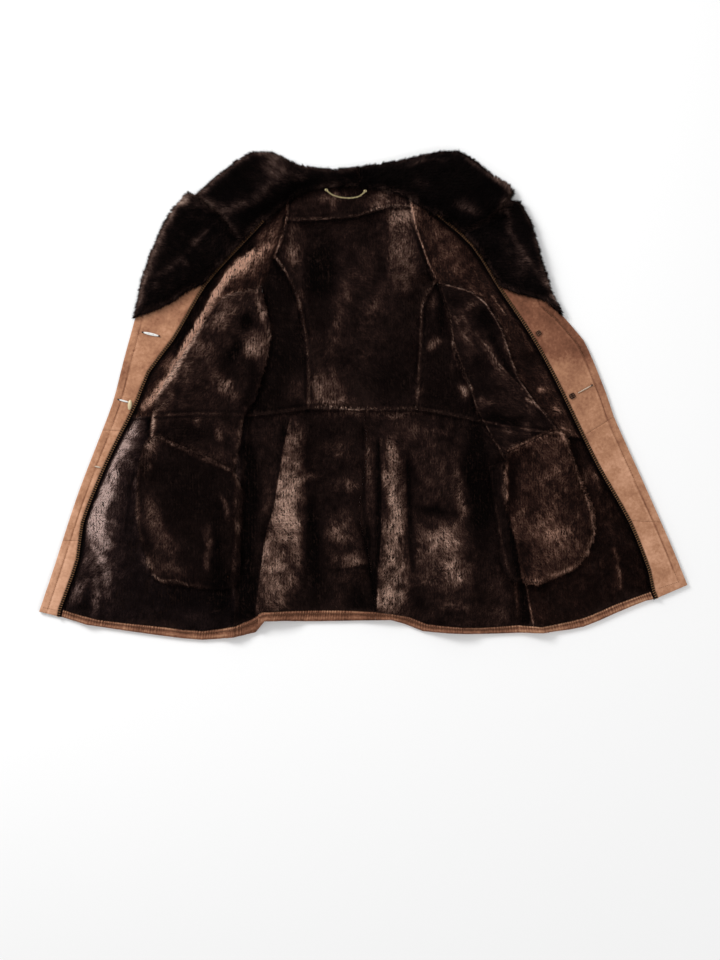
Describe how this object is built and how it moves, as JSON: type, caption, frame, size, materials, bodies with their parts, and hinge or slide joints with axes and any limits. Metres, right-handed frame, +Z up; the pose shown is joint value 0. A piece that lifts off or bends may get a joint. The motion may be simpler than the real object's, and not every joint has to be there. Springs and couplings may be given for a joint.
{
  "type": "shearling coat",
  "caption": "Woman's waist-seamed shearling coat lying open and flat with its fur inside up, collar and lapels spread, sleeves drawn in under the pocket bags.",
  "frame": {"origin": "centre of the opened coat's box, on the surface it lies on", "axes": "+X across the opened coat towards the wearer's left front, +Y towards the collar, +Z up from the surface"},
  "size_m": [1.1906, 0.8928, 0.0304],
  "materials": {
    "inner_fur": "clipped dark brown shearling, fur side",
    "collar_fur": "longer near-black brown shearling",
    "suede": "tan napped suede",
    "braid": "dark brown and gold overcast braid",
    "binding": "pale silky buttonhole binding",
    "thread": "waxed dark brown button thread",
    "button": "small cream backing button",
    "chain": "pale gilt hanger chain"
  },
  "bodies": {
    "root": {"back_yoke": "inner_fur", "back_upper": "inner_fur", "side_back_right": "inner_fur", "side_back_left": "inner_fur", "skirt_back_right": "inner_fur", "skirt_back_left": "inner_fur", "hem_band_back_right": "suede", "hem_band_back_left": "suede", "front_right": "inner_fur", "skirt_front_right": "inner_fur", "hem_band_front_right": "suede", "collar_right": "collar_fur", "lapel_right": "collar_fur", "facing_upper_right": "suede", "facing_middle_right": "suede", "facing_lower_right": "suede", "braid_right": "braid", "sleeve_under_right": "inner_fur", "sleeve_top_right": "inner_fur", "pocket_under_right": "inner_fur", "pocket_bag_right": "inner_fur", "front_left": "inner_fur", "skirt_front_left": "inner_fur", "hem_band_front_left": "suede", "collar_left": "collar_fur", "lapel_left": "collar_fur", "facing_upper_left": "suede", "facing_middle_left": "suede", "facing_lower_left": "suede", "braid_left": "braid", "sleeve_under_left": "inner_fur", "sleeve_top_left": "inner_fur", "pocket_under_left": "inner_fur", "pocket_bag_left": "inner_fur", "buttonhole_upper_right": "binding", "buttonhole_middle_right": "binding", "buttonhole_lower_right": "binding", "buttonhole_left": "binding", "button_stitch_upper_left": "thread", "button_stitch_lower_left": "thread", "backing_button": "button", "hanger_chain": "chain", "hanger_ring_right": "chain", "hanger_ring_left": "chain"}
  },
  "joints": []
}
